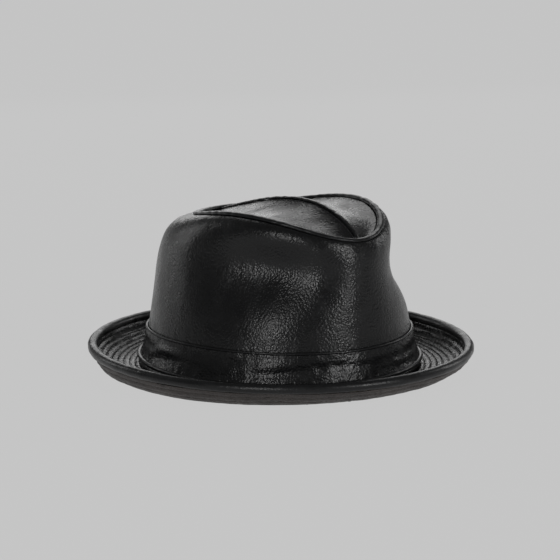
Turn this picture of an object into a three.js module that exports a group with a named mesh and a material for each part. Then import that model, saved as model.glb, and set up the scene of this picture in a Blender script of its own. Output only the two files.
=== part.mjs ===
// Leather fedora hat with a turned-up, corded brim.
// Millimetres, +Z up, the wearer's face looks along -Y, the flat of the brim rests on z = 0.
// Every ring is drawn by the angle phi round the head: 0 at the front, PI at the back,
// positive towards the wearer's left (+X).
import * as THREE from 'three';

// ---- Facets ---------------------------------------------------------------------------------
const AROUND = 48;              // facets round every oval
const ROUND_SIDES = 6;          // sides of a piping or a cord
const TIP_ROWS = 18;            // rows from the front to the back of the crown top
const TIP_COLUMNS = 3;          // columns from the centre seam to the rim

// ---- Layers ---------------------------------------------------------------------------------
const GAP = 0.3;                // clearance left between neighbouring pieces
const LEATHER = 1.2;
const INTERLINING = 1.2;
const LINING = 0.5;

// ---- Ovals: centre is the y of the middle, front and back the reach from it, half the width ---
const FOOT_OVAL = { centre: 0.6, front: 107, back: 107, half: 96 };
const WALL_TOP_OVAL = { centre: -3.4, front: 95.8, back: 102, half: 73.2 };
const RIM_OVAL = { centre: -10.5, front: 85.1, back: 78.8, half: 58.4 };
const WELT_OVAL = { centre: -10.5, front: 82.8, back: 76.5, half: 56.1 };
const TIP_OVAL = { centre: -10.5, front: 80.3, back: 74, half: 53.6 };
const BRIM_HOLE_OVAL = { centre: 0.6, front: 106.2, back: 106.2, half: 92.2 };
const ROLL_OVAL = { centre: 0, front: 148.6, back: 148.6, half: 132.7 };

// ---- Crown ----------------------------------------------------------------------------------
const CROWN_FOOT = 4.7;         // bottom edge of the side wall, just above the brim
const RIM_BELOW_WELT = 1;       // the wall's top edge sits this far below the welt's middle
const SHOULDER_POWER = 9;       // higher is a tighter shoulder where the wall turns in to the rim
const FLARE = 4.3;              // the wall turns out to meet the brim
const FLARE_LENGTH = 9;
const WALL_LEVELS = [0, 0.06, 0.14, 0.28, 0.55, 0.78, 0.91, 0.975, 1];
const LINED_LEVELS = [0.015, 0.06, 0.14, 0.28, 0.55, 0.78, 0.91];

const PINCH_AT = 54 * Math.PI / 180;      // the two front pinches, either side of the front
const PINCH_SPREAD = 28 * Math.PI / 180;
const PINCH_DEPTH = 12;
const PINCH_FOOT = 35;                    // the wall is plain below this height
const PINCH_SKEW = 1.4;                   // above 1 moves the deepest point up the wall

const RIDGE_FRONT = -90.5;
const RIDGE_LENGTH = 153.7;
const RIDGE_FOOT = 102.3;       // height of the ridge line's front end
const RIDGE_HEEL = 110.6;       // height of its back end
const RIDGE_RISE = 20.9;
const RIDGE_SKEW = 1.45;        // above 1 moves the highest point towards the front
const RIDGE_POINT = 0.97;       // above 1 draws both ends of the ridge out lower
const RIDGE_START = 0.03;       // the ridge is left clear of the welt at both ends
const RIDGE_END = 0.997;
const TIP_SAG = 5;              // how far each half of the crown top dips
const STRIP_WIDTH = 3.4;
const STRIP_ABOVE = 1;
const STRIP_BELOW = 0.5;
const TIP_LAYER_GAP = 0.8;      // looser than GAP, because the facets of the layers differ
const LINED_TIP_SHARE = 0.92;
const WELT_HALF_WIDTH = 1.9;
const WELT_HALF_HEIGHT = 1.6;

// ---- Hatband: a piping's height is in the middle, tilt lifts its front, wave both its ends -----
const UPPER_PIPING = { height: 30.1, tilt: 0.5, wave: -0.9, radius: 1 };
const LOWER_PIPING = { height: 8.5, tilt: -0.7, wave: 0, radius: 1.6 };
const TAB_WIDTH = 16;
const TAB_THICKNESS = 0.9;

// ---- Sweatband ------------------------------------------------------------------------------
const SWEATBAND_FOOT_OVAL = { centre: 0.6, front: 104, back: 104, half: 90 };
const SWEATBAND_TOP_OVAL = { centre: -0.3, front: 100.2, back: 100.2, half: 84.2 };
const SWEATBAND_FOOT = 1;
const SWEATBAND_TOP = 35;
const SWEATBAND_THICKNESS = 1.3;
const REED_OVAL = { centre: 0.6, front: 105.1, back: 105.1, half: 91.1 };
const REED_RADIUS = 0.7;
const REED_HEIGHT = 1.6;
const JOINT_TAPE_WIDTH = 12;
const JOINT_TAPE_THICKNESS = 0.6;

// ---- Brim: flat round the head, then a quarter ellipse up to the rolled edge ------------------
const BRIM_SKIN = 1;            // top leather, interlining and under leather, each
const BRIM_MIDDLE = 1.5 * BRIM_SKIN + GAP;
const BRIM_FLAT_SHARE = 0.3;    // share of the brim's levels given to its flat part
const BRIM_LEVELS = [0, BRIM_FLAT_SHARE, 0.5, 0.68, 0.84];
const TURN_WIDTH = 23;          // how far in from the edge the brim starts to turn up
const TURN_WAVE = 7;            // added at the front and back, taken off at the sides
const ROLL_HEIGHT = 16.4;       // middle of the rolled edge
const ROLL_TILT = -0.7;         // added at the front, taken off at the back
const ROLL_RADIUS = 3.6;
const ROLL_SKIN = 0.9;
const ROLL_MOUTH = 42 * Math.PI / 180;    // half angle of the slot the brim enters by
const ROLL_STEPS = 8;
const CORD_RADIUS = 2.2;
const SKIN_TO_ROLL = ROLL_RADIUS + 2 * GAP;
const CORE_TO_ROLL = CORD_RADIUS + 2 * GAP;

// ---- Colours --------------------------------------------------------------------------------
const BLACK_LEATHER = { color: 0x18171a, roughness: 0.45, metalness: 0 };
const UNDER_LEATHER = { color: 0x2a2623, roughness: 0.6, metalness: 0 };
const PIPING_LEATHER = { color: 0x141316, roughness: 0.4, metalness: 0 };
const SWEAT_LEATHER = { color: 0x2b2522, roughness: 0.65, metalness: 0 };
const SATIN = { color: 0x202126, roughness: 0.35, metalness: 0 };
const BUCKRAM = { color: 0x8d887c, roughness: 0.9, metalness: 0 };
const COTTON = { color: 0xb9b2a3, roughness: 0.95, metalness: 0 };
const REED_PLASTIC = { color: 0x3a3b3d, roughness: 0.5, metalness: 0 };

const lerp = THREE.MathUtils.lerp;
const BACK = Math.PI;

// ---- Surfaces -------------------------------------------------------------------------------

function ovalPoint(oval, phi, z) {
  const reach = Math.cos(phi) > 0 ? oval.front : oval.back;
  return new THREE.Vector3(oval.half * Math.sin(phi), oval.centre - reach * Math.cos(phi), z);
}

function blendOvals(a, b, share) {
  return {
    centre: lerp(a.centre, b.centre, share),
    front: lerp(a.front, b.front, share),
    back: lerp(a.back, b.back, share),
    half: lerp(a.half, b.half, share),
  };
}

// Outward level direction square to an oval.
function ovalNormal(oval, phi) {
  const reach = Math.cos(phi) > 0 ? oval.front : oval.back;
  return new THREE.Vector3(Math.sin(phi) / oval.half, -Math.cos(phi) / reach, 0).normalize();
}

// The rim dips at the front and back and is highest over the ears.
function rimHeight(phi) {
  return 114.7 - 0.9 * Math.cos(phi) - 6.7 * Math.cos(2 * phi) - 2.2 * Math.cos(3 * phi);
}

function pinchDepth(phi, z, top) {
  const rise = (z - PINCH_FOOT) / (top - PINCH_FOOT);
  if (rise <= 0 || rise >= 1) return 0;
  const turned = Math.abs(Math.atan2(Math.sin(phi), Math.cos(phi)));
  const across = Math.exp(-(((turned - PINCH_AT) / PINCH_SPREAD) ** 2));
  return PINCH_DEPTH * across * Math.sin(Math.PI * rise ** PINCH_SKEW) ** 2;
}

// Outer face of the side wall; level runs from 0 at its foot to 1 at the rim.
function wallSurface(phi, level) {
  const straight = blendOvals(FOOT_OVAL, WALL_TOP_OVAL, level);
  const shoulder = Math.sqrt(1 - Math.min(level, 1) ** SHOULDER_POWER);
  const oval = blendOvals(RIM_OVAL, straight, shoulder);
  const top = rimHeight(phi) - RIM_BELOW_WELT;
  const z = lerp(CROWN_FOOT, top, level);
  const flare = FLARE * Math.exp(-(z - CROWN_FOOT) / FLARE_LENGTH);
  const push = flare - pinchDepth(phi, z, top);
  return ovalPoint(oval, phi, z).addScaledVector(ovalNormal(oval, phi), push);
}

function levelAt(phi, z) {
  return (z - CROWN_FOOT) / (rimHeight(phi) - RIM_BELOW_WELT - CROWN_FOOT);
}

// Middle face of the brim; level runs from 0 at the head opening to 1 at the middle of the roll.
function brimSurface(phi, level) {
  const turnWidth = TURN_WIDTH + TURN_WAVE * Math.cos(2 * phi);
  const reach = ROLL_OVAL.half - BRIM_HOLE_OVAL.half;
  const flat = Math.min(level / BRIM_FLAT_SHARE, 1);
  const turned = Math.PI / 2 * Math.max(0, (level - BRIM_FLAT_SHARE) / (1 - BRIM_FLAT_SHARE));
  const run = (reach - turnWidth) * flat + turnWidth * Math.sin(turned);
  const rise = ROLL_HEIGHT + ROLL_TILT * Math.cos(phi) - BRIM_MIDDLE;
  const oval = blendOvals(BRIM_HOLE_OVAL, ROLL_OVAL, run / reach);
  return ovalPoint(oval, phi, BRIM_MIDDLE + rise * (1 - Math.cos(turned)));
}

function sweatbandSurface(phi, level) {
  const oval = blendOvals(SWEATBAND_FOOT_OVAL, SWEATBAND_TOP_OVAL, level);
  return ovalPoint(oval, phi, lerp(SWEATBAND_FOOT, SWEATBAND_TOP, level));
}

// Point on a surface moved square to it; positive is away from the head, or down off the brim.
function offsetPoint(surface, phi, level, distance) {
  const step = 0.004;
  const along = surface(phi + step, level).sub(surface(phi - step, level));
  const up = surface(phi, Math.min(level + step, 1)).sub(surface(phi, level - step));
  return surface(phi, level).addScaledVector(along.cross(up).normalize(), distance);
}

// Seam line along the middle of the crown top; w runs from 0 at the front to 1 at the back.
function ridgePoint(w) {
  const y = RIDGE_FRONT + RIDGE_LENGTH * w ** RIDGE_SKEW;
  const rise = RIDGE_RISE * Math.sin(Math.PI * w) ** RIDGE_POINT;
  return new THREE.Vector3(0, y, lerp(RIDGE_FOOT, RIDGE_HEEL, w) + rise);
}

// Upper face of the crown top; side runs from 0 at the ridge to 1 at the rim.
function tipPoint(w, side, sign, drop) {
  const ridge = ridgePoint(w);
  const reach = ridge.y < TIP_OVAL.centre ? TIP_OVAL.front : TIP_OVAL.back;
  const cosine = THREE.MathUtils.clamp((TIP_OVAL.centre - ridge.y) / reach, -1, 1);
  const phi = Math.acos(cosine);
  const dip = 4 * TIP_SAG * side * (1 - side) * Math.sin(phi);
  const z = lerp(ridge.z, rimHeight(phi), side) - dip - drop;
  return new THREE.Vector3(sign * side * TIP_OVAL.half * Math.sin(phi), ridge.y, z);
}

// ---- Solid builders -------------------------------------------------------------------------

function signedVolume(points, faces) {
  let volume = 0;
  for (const [a, b, c] of faces) {
    volume += points[a].dot(points[b].clone().cross(points[c])) / 6;
  }
  return volume;
}

function solid(points, faces) {
  const outward = signedVolume(points, faces) > 0;
  const index = faces.flatMap(([a, b, c]) => (outward ? [a, b, c] : [a, c, b]));
  const geometry = new THREE.BufferGeometry();
  const flat = points.flatMap((point) => point.toArray());
  geometry.setAttribute('position', new THREE.Float32BufferAttribute(flat, 3));
  geometry.setIndex(index);
  geometry.computeVertexNormals();
  return geometry;
}

function quad(a, b, c, d) {
  return [[a, b, c], [a, c, d]];
}

// A ring round the head; sectionAt(phi) lists the corners of its cut face in order.
// From corner `turned` on, the facets are split the other way, so that the two faces of a
// shell, listed up and then down, share one pattern and stay parallel.
function ring(sectionAt, turned = Infinity) {
  const sections = [];
  for (let i = 0; i < AROUND; i += 1) {
    sections.push(sectionAt(2 * Math.PI * i / AROUND));
  }
  const corners = sections[0].length;
  const faces = [];
  for (let i = 0; i < AROUND; i += 1) {
    const next = (i + 1) % AROUND;
    for (let j = 0; j < corners; j += 1) {
      const after = (j + 1) % corners;
      const [a, b] = [i * corners + j, next * corners + j];
      const [c, d] = [next * corners + after, i * corners + after];
      faces.push(...(j < turned ? quad(a, b, c, d) : quad(b, c, d, a)));
    }
  }
  return solid(sections.flat(), faces);
}

// A patch between two grids of points that face each other.
function slab(upper, lower) {
  const rows = upper.length;
  const columns = upper[0].length;
  const size = rows * columns;
  const at = (row, column) => row * columns + column;
  const faces = [];
  for (let row = 0; row + 1 < rows; row += 1) {
    for (let column = 0; column + 1 < columns; column += 1) {
      const [a, b] = [at(row, column), at(row, column + 1)];
      const [c, d] = [at(row + 1, column + 1), at(row + 1, column)];
      faces.push(...quad(a, b, c, d), ...quad(size + a, size + d, size + c, size + b));
    }
  }
  const border = [];
  for (let column = 0; column + 1 < columns; column += 1) border.push(at(0, column));
  for (let row = 0; row + 1 < rows; row += 1) border.push(at(row, columns - 1));
  for (let column = columns - 1; column > 0; column -= 1) border.push(at(rows - 1, column));
  for (let row = rows - 1; row > 0; row -= 1) border.push(at(row, 0));
  border.forEach((from, i) => {
    const to = border[(i + 1) % border.length];
    faces.push(...quad(from, size + from, size + to, to));
  });
  return solid([...upper.flat(), ...lower.flat()], faces);
}

// ---- Sub-parts ------------------------------------------------------------------------------

// Ring shell between two offsets from a surface, outer one first.
function shellRing(surface, levelsAt, outer, inner) {
  const sectionAt = (phi) => {
    const levels = levelsAt(phi);
    const outside = levels.map((level) => offsetPoint(surface, phi, level, outer));
    const inside = levels.map((level) => offsetPoint(surface, phi, level, inner));
    return [...outside, ...inside.reverse()];
  };
  return ring(sectionAt, levelsAt(0).length);
}

function roundRing(centreAt, outwardAt, radius, height = radius) {
  return ring((phi) => {
    const centre = centreAt(phi);
    const outward = outwardAt(phi);
    const corners = [];
    for (let i = 0; i < ROUND_SIDES; i += 1) {
      const angle = 2 * Math.PI * (i + 0.5) / ROUND_SIDES;
      const corner = centre.clone().addScaledVector(outward, radius * Math.cos(angle));
      corner.z += height * Math.sin(angle);
      corners.push(corner);
    }
    return corners;
  });
}

function pipingHeight(piping, phi) {
  return piping.height + piping.tilt * Math.cos(phi) + piping.wave * Math.cos(2 * phi);
}

function pipingRing(piping) {
  const level = (phi) => levelAt(phi, pipingHeight(piping, phi));
  const centreAt = (phi) => offsetPoint(wallSurface, phi, level(phi), piping.radius + GAP);
  return roundRing(centreAt, (phi) => ovalNormal(FOOT_OVAL, phi), piping.radius);
}

function hatbandLevels(phi, count) {
  const low = pipingHeight(LOWER_PIPING, phi) + LOWER_PIPING.radius + GAP;
  const high = pipingHeight(UPPER_PIPING, phi) - UPPER_PIPING.radius - GAP;
  const levels = [];
  for (let i = 0; i <= count; i += 1) {
    levels.push(levelAt(phi, lerp(low, high, i / count)));
  }
  return levels;
}

// Upright strip at the back of a ring surface.
function backStrip(surface, levels, width, outer, inner) {
  const reach = 0.5 * width / FOOT_OVAL.half;
  const grid = (distance) => levels.map((level) => [-1, 0, 1].map(
    (side) => offsetPoint(surface, BACK + side * reach, level, distance),
  ));
  return slab(grid(outer), grid(inner));
}

function tipRows() {
  const rows = [];
  for (let i = 0; i <= TIP_ROWS; i += 1) {
    rows.push(lerp(RIDGE_START, RIDGE_END, i / TIP_ROWS));
  }
  return rows;
}

function tipHalf(sign) {
  const seam = STRIP_WIDTH / 2 + GAP;
  const grid = (drop) => tipRows().map((w) => {
    const half = Math.abs(tipPoint(w, 1, 1, 0).x);
    const columns = [];
    for (let i = 0; i <= TIP_COLUMNS; i += 1) {
      columns.push(tipPoint(w, lerp(seam / half, 1, i / TIP_COLUMNS), sign, drop));
    }
    return columns;
  });
  return slab(grid(0), grid(LEATHER));
}

// One-piece layer under both halves of the crown top.
function tipLayer(drop, thickness) {
  const grid = (depth) => tipRows().map((w) => {
    const columns = [];
    for (let i = -TIP_COLUMNS; i <= TIP_COLUMNS; i += 1) {
      const side = LINED_TIP_SHARE * Math.abs(i) / TIP_COLUMNS;
      columns.push(tipPoint(w, side, Math.sign(i), depth));
    }
    return columns;
  });
  return slab(grid(drop), grid(drop + thickness));
}

function centreStrip() {
  const grid = (rise) => tipRows().map((w) => [-1, 1].map((side) => {
    const point = ridgePoint(w);
    return new THREE.Vector3(side * STRIP_WIDTH / 2, point.y, point.z + rise);
  }));
  return slab(grid(STRIP_ABOVE), grid(-STRIP_BELOW));
}

// Layer of the brim between two heights above its middle.
function brimSkin(upper, lower, toRoll) {
  const steepness = Math.PI / 2 * (ROLL_HEIGHT - BRIM_MIDDLE) / (1 - BRIM_FLAT_SHARE);
  const last = 1 - toRoll / steepness;
  return shellRing(brimSurface, () => [...BRIM_LEVELS, last], -upper, -lower);
}

// Directions of the rolled edge: outwards along the brim, and square to the brim.
function rollAxes(phi) {
  const centre = brimSurface(phi, 1);
  const square = offsetPoint(brimSurface, phi, 1, -1).sub(centre);
  const outward = centre.clone().sub(brimSurface(phi, 0.99)).projectOnPlane(square).normalize();
  return { centre, square, outward };
}

function rollPoint({ centre, square, outward }, radius, angle) {
  return centre.clone().addScaledVector(outward, -radius * Math.cos(angle))
    .addScaledVector(square, radius * Math.sin(angle));
}

function rollBinding() {
  const arc = (axes, radius) => {
    const points = [];
    for (let i = 0; i <= ROLL_STEPS; i += 1) {
      points.push(rollPoint(axes, radius, lerp(ROLL_MOUTH, 2 * Math.PI - ROLL_MOUTH, i / ROLL_STEPS)));
    }
    return points;
  };
  return ring((phi) => {
    const axes = rollAxes(phi);
    return [...arc(axes, ROLL_RADIUS), ...arc(axes, ROLL_RADIUS - ROLL_SKIN).reverse()];
  });
}

function rollCord() {
  return ring((phi) => {
    const axes = rollAxes(phi);
    const corners = [];
    for (let i = 0; i < ROUND_SIDES; i += 1) {
      corners.push(rollPoint(axes, CORD_RADIUS, 2 * Math.PI * (i + 0.5) / ROUND_SIDES));
    }
    return corners;
  });
}

// ---- Assembly -------------------------------------------------------------------------------

const hat = new THREE.Group();
hat.name = 'fedora_hat';

function add(name, geometry, look) {
  const mesh = new THREE.Mesh(geometry, new THREE.MeshStandardMaterial(look));
  mesh.name = name;
  hat.add(mesh);
}

function addCrown() {
  const lined = LEATHER + GAP;
  const inner = lined + INTERLINING + GAP;
  add('crown_side_wall', shellRing(wallSurface, () => WALL_LEVELS, 0, -LEATHER), BLACK_LEATHER);
  add('crown_side_interlining',
    shellRing(wallSurface, () => LINED_LEVELS, -lined, -lined - INTERLINING), BUCKRAM);
  add('crown_side_lining',
    shellRing(wallSurface, () => LINED_LEVELS, -inner, -inner - LINING), SATIN);
  add('crown_tip_left', tipHalf(1), BLACK_LEATHER);
  add('crown_tip_right', tipHalf(-1), BLACK_LEATHER);
  add('crown_tip_centre_strip', centreStrip(), BLACK_LEATHER);
  const tipLined = LEATHER + TIP_LAYER_GAP;
  const tipInner = tipLined + INTERLINING + TIP_LAYER_GAP;
  add('crown_tip_interlining', tipLayer(tipLined, INTERLINING), BUCKRAM);
  add('crown_tip_lining', tipLayer(tipInner, LINING), SATIN);
  add('crown_rim_welt', roundRing((phi) => ovalPoint(WELT_OVAL, phi, rimHeight(phi)),
    (phi) => ovalNormal(WELT_OVAL, phi), WELT_HALF_WIDTH, WELT_HALF_HEIGHT), PIPING_LEATHER);
  const seamFoot = levelAt(BACK, UPPER_PIPING.height + 2 * UPPER_PIPING.radius);
  const seamLevels = [seamFoot, ...WALL_LEVELS.filter((level) => level > 0.5 && level < 1)];
  add('crown_back_strip',
    backStrip(wallSurface, seamLevels, STRIP_WIDTH, GAP + STRIP_ABOVE, GAP), BLACK_LEATHER);
}

function addHatband() {
  const outer = GAP + LEATHER;
  add('hatband', shellRing(wallSurface, (phi) => hatbandLevels(phi, 3), outer, GAP), BLACK_LEATHER);
  add('hatband_upper_piping', pipingRing(UPPER_PIPING), PIPING_LEATHER);
  add('hatband_lower_piping', pipingRing(LOWER_PIPING), PIPING_LEATHER);
  add('hatband_back_tab', backStrip(wallSurface, hatbandLevels(BACK, 3), TAB_WIDTH,
    outer + GAP + TAB_THICKNESS, outer + GAP), BLACK_LEATHER);
}

function addSweatband() {
  const levels = [0, 0.5, 1];
  const inside = SWEATBAND_THICKNESS + 2 * GAP;
  add('sweatband', shellRing(sweatbandSurface, () => levels, 0, -SWEATBAND_THICKNESS), SWEAT_LEATHER);
  add('sweatband_reed', roundRing((phi) => ovalPoint(REED_OVAL, phi, REED_HEIGHT),
    (phi) => ovalNormal(REED_OVAL, phi), REED_RADIUS), REED_PLASTIC);
  add('sweatband_joint_tape', backStrip(sweatbandSurface, [0.05, 0.5, 0.95], JOINT_TAPE_WIDTH,
    -inside, -inside - JOINT_TAPE_THICKNESS), SWEAT_LEATHER);
}

function addBrim() {
  const near = BRIM_SKIN / 2 + GAP;
  add('brim_top_leather', brimSkin(near + BRIM_SKIN, near, SKIN_TO_ROLL), BLACK_LEATHER);
  add('brim_interlining', brimSkin(BRIM_SKIN / 2, -BRIM_SKIN / 2, CORE_TO_ROLL), BUCKRAM);
  add('brim_under_leather', brimSkin(-near, -near - BRIM_SKIN, SKIN_TO_ROLL), UNDER_LEATHER);
  add('brim_edge_binding', rollBinding(), BLACK_LEATHER);
  add('brim_edge_cord', rollCord(), COTTON);
}

addCrown();
addHatband();
addSweatband();
addBrim();

export default hat;
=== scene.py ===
"""A black leather fedora hat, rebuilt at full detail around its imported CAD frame.

The walls and rings are formulas in the angle phi round the head (0 at the front, pi at the
back, positive towards the wearer's left) and a level across the piece.  The crown top is a
formula in w along its ridge and side across it.  Most of the ovals come from the frame's boxes.
All this is in millimetres, and is turned into metres when a mesh is made.
"""

import math

import bpy
import numpy as np
from mathutils import Matrix, Vector


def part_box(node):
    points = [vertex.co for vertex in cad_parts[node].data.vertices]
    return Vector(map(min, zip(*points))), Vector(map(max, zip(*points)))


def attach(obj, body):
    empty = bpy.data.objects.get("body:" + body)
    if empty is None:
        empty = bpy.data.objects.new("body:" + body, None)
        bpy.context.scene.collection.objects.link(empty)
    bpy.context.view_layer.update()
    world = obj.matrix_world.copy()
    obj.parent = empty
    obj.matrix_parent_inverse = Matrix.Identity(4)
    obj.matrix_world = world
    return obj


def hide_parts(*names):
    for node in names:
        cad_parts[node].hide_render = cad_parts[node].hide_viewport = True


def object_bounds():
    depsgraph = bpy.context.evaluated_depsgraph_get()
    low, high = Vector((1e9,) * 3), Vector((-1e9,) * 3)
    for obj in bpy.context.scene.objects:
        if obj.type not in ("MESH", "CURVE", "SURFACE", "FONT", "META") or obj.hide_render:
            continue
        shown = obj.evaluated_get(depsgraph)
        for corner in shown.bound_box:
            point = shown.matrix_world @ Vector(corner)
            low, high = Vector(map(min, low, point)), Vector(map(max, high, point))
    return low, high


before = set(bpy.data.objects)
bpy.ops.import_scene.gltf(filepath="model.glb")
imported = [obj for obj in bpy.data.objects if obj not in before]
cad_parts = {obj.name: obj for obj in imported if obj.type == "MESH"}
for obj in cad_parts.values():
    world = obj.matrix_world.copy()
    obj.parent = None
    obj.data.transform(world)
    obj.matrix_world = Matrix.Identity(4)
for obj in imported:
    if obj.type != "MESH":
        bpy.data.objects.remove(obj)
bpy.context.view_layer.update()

MM = 0.001
PI = math.pi

# ---- Camera and light: metres, with millimetres for the lens --------------------------------
AZIMUTH = math.radians(-40)
ELEVATION = math.radians(11.0)
ROLL = math.radians(-1.3)
DISTANCE = 1.5
LENS = 130.5
SENSOR = 36
AIM = Vector((0, -0.003, 0.0642))
LIGHTS_FACE = Vector((0, 0, 0.07))
WORLD_STRENGTH = 0.17
FLOOR_GLOW = 0.55
FLOOR_REACH = 30
FLOOR_DROP = 0.0005              # keeps the floor just under the hat's resting face

# ---- Layers and small parts, in millimetres -------------------------------------------------
LEATHER = 1.2
INTERLINING = 1.2
LINING = 0.5
GAP = 0.3
HEXAGON = math.cos(PI / 6)       # reach of the frame's six-sided rings, as a share of radius
WELT_HALF_WIDTH = 1.9
WELT_HALF_HEIGHT = 1.6
WELT_TO_WALL = 2.3
WELT_TO_TIP = 2.5
REED_RADIUS = 0.7
CORD_RADIUS = 2.2
ROLL_RADIUS = 3.6
ROLL_SKIN = 0.9
UPPER_PIPING_RADIUS = 1.0
LOWER_PIPING_RADIUS = 1.6
STRIP_WIDTH = 3.4
BRIM_SKIN = 1.0
BRIM_MIDDLE = 1.5 * BRIM_SKIN + GAP
STITCH_LENGTH = 2.5
STITCH_PITCH = 3.3
STITCH_RADIUS = 0.26
THREAD_LIFT = 0.15               # from the leather to the middle of a stitch
HOLE_TO_REED = 1.1
REST_CLEARANCE = 0.5             # room for the under brim's stitches above the resting plane

# ---- Grids and random waves -----------------------------------------------------------------
AROUND = 540                     # columns of a fine ring
COARSE_AROUND = 180              # columns of a hidden ring
ROUND_SIDES = 20
WAVE_COUNT = 28                  # cosines summed in one random field
WAVE_SPREAD = (0.75, 1.4)        # shortest and longest ripple, as shares of the length asked for

# ---- Crown shape ----------------------------------------------------------------------------
CROWN_FOOT = 4.7
CROWN_CENTRE = 0.6               # y of the widest place at the foot
RIM_CENTRE = -10.5
RIM_HEIGHT = 114.7               # mean height of the crown top's rim
RIM_TILT = 0.9                   # rise of the back, and fall of the front, off that mean
RIM_SADDLE = 6.7                 # rise of the sides off that mean
RIM_FORWARD = 2.2                # moves the rim's two high places forwards
WALL_TOP = {"centre": -3.4, "front": 95.8, "back": 102.0, "half": 73.2}
RIM_BELOW_WELT = 1.0
SHOULDER_POWER = 9
FLARE = 4.3
FLARE_LENGTH = 9.0
PINCH_AT = math.radians(54)
PINCH_SPREAD = math.radians(28)
PINCH_DEPTH = 12.0
PINCH_FOOT = 35.0
PINCH_SKEW = 1.4
RIDGE_FOOT = 102.3
RIDGE_HEEL = 110.6
RIDGE_RISE = 20.9
RIDGE_SKEW = 1.45
RIDGE_POINT = 0.97
RIDGE_FRONT = -90.5
RIDGE_LENGTH = 153.7
TIP_SAG = 5.0

# ---- Brim shape -----------------------------------------------------------------------------
TURN_WIDTH = 23.0
TURN_WAVE = 7.0
FLAT_SHARE = 0.3
ROLL_TILT = -0.7                 # height of the roll at the front, off its mean
ROLL_INSET = 3.0                 # from the roll's middle to the end of the brim's leather
ROW_FIRST = 6.5                  # first stitched row, from the middle of the roll
ROW_SPACING = 4.6
ROW_COUNT = 8


# ---- Ovals ----------------------------------------------------------------------------------

def frame_oval(node, centre, inset):
    """The oval a frame ring follows, from its box: inset is the ring's own half thickness."""
    low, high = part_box(node)
    front = centre - low[1] / MM - inset
    back = high[1] / MM - centre - inset
    return {"centre": centre, "front": front, "back": back, "half": high[0] / MM - inset}


def grown(oval, by):
    return {"centre": oval["centre"], "front": oval["front"] + by, "back": oval["back"] + by,
            "half": oval["half"] + by}


WELT = frame_oval("crown_rim_welt", RIM_CENTRE, WELT_HALF_WIDTH * HEXAGON)
RIM = grown(WELT, WELT_TO_WALL)
TIP = grown(WELT, -WELT_TO_TIP)
FOOT = frame_oval("crown_side_wall", CROWN_CENTRE, FLARE)
REED = frame_oval("sweatband_reed", CROWN_CENTRE, REED_RADIUS * HEXAGON)
HOLE = grown(REED, HOLE_TO_REED)
SWEAT_FOOT = frame_oval("sweatband", CROWN_CENTRE, 0)
SWEAT_TOP = {"centre": -0.3, "front": 100.2, "back": 100.2, "half": 84.2}
EDGE = frame_oval("brim_edge_cord", 0, CORD_RADIUS)
ROLL_LOW, ROLL_HIGH = (corner[2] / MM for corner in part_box("brim_edge_cord"))
ROLL_HEIGHT = (ROLL_LOW + ROLL_HIGH) / 2


def blend(a, b, share):
    return {key: a[key] + (b[key] - a[key]) * share for key in a}


def oval_point(oval, phi, z):
    reach = np.where(np.cos(phi) > 0, oval["front"], oval["back"])
    x, y, z = np.broadcast_arrays(oval["half"] * np.sin(phi),
                                  oval["centre"] - reach * np.cos(phi), z)
    return np.stack([x, y, z], axis=-1)


def oval_normal(oval, phi):
    reach = np.where(np.cos(phi) > 0, oval["front"], oval["back"])
    x, y = np.broadcast_arrays(np.sin(phi) / oval["half"], -np.cos(phi) / reach)
    normal = np.stack([x, y, np.zeros_like(x)], axis=-1)
    return normal / np.linalg.norm(normal, axis=-1, keepdims=True)


# ---- Surfaces -------------------------------------------------------------------------------

def rim_height(phi):
    return (RIM_HEIGHT - RIM_TILT * np.cos(phi) - RIM_SADDLE * np.cos(2 * phi)
            - RIM_FORWARD * np.cos(3 * phi))


def pinch(phi, z, top):
    rise = np.clip((z - PINCH_FOOT) / (top - PINCH_FOOT), 0, 1)
    turned = np.abs(np.arctan2(np.sin(phi), np.cos(phi)))
    across = np.exp(-((turned - PINCH_AT) / PINCH_SPREAD) ** 2)
    return PINCH_DEPTH * across * np.sin(PI * rise ** PINCH_SKEW) ** 2


def wall_surface(phi, level):
    """Outer face of the side wall, from its foot at level 0 to the rim at level 1."""
    shoulder = np.sqrt(1 - np.clip(level, 0, 1) ** SHOULDER_POWER)
    oval = blend(RIM, blend(FOOT, WALL_TOP, level), shoulder)
    top = rim_height(phi) - RIM_BELOW_WELT
    z = CROWN_FOOT + (top - CROWN_FOOT) * level
    push = FLARE * np.exp(-(z - CROWN_FOOT) / FLARE_LENGTH) - pinch(phi, z, top)
    return oval_point(oval, phi, z) + oval_normal(oval, phi) * push[..., None]


def wall_level(phi, z):
    return (z - CROWN_FOOT) / (rim_height(phi) - RIM_BELOW_WELT - CROWN_FOOT)


def brim_surface(phi, level):
    """Middle face of the brim, from the head opening at level 0 to the roll's middle at 1."""
    turn_width = TURN_WIDTH + TURN_WAVE * np.cos(2 * phi)
    reach = EDGE["half"] - HOLE["half"]
    flat = np.clip(level / FLAT_SHARE, 0, 1)
    turned = PI / 2 * np.clip((level - FLAT_SHARE) / (1 - FLAT_SHARE), 0, None)
    run = (reach - turn_width) * flat + turn_width * np.sin(turned)
    rise = ROLL_HEIGHT + ROLL_TILT * np.cos(phi) - BRIM_MIDDLE
    oval = blend(HOLE, EDGE, run / reach)
    return oval_point(oval, phi, BRIM_MIDDLE + rise * (1 - np.cos(turned)))


def ridge_point(w):
    rise = RIDGE_RISE * np.sin(PI * w) ** RIDGE_POINT
    z = RIDGE_FOOT + (RIDGE_HEEL - RIDGE_FOOT) * w + rise
    return np.stack([0 * w, RIDGE_FRONT + RIDGE_LENGTH * w ** RIDGE_SKEW, z], axis=-1)


def tip_angle(y):
    reach = np.where(y < TIP["centre"], TIP["front"], TIP["back"])
    return np.arccos(np.clip((TIP["centre"] - y) / reach, -1, 1))


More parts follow.
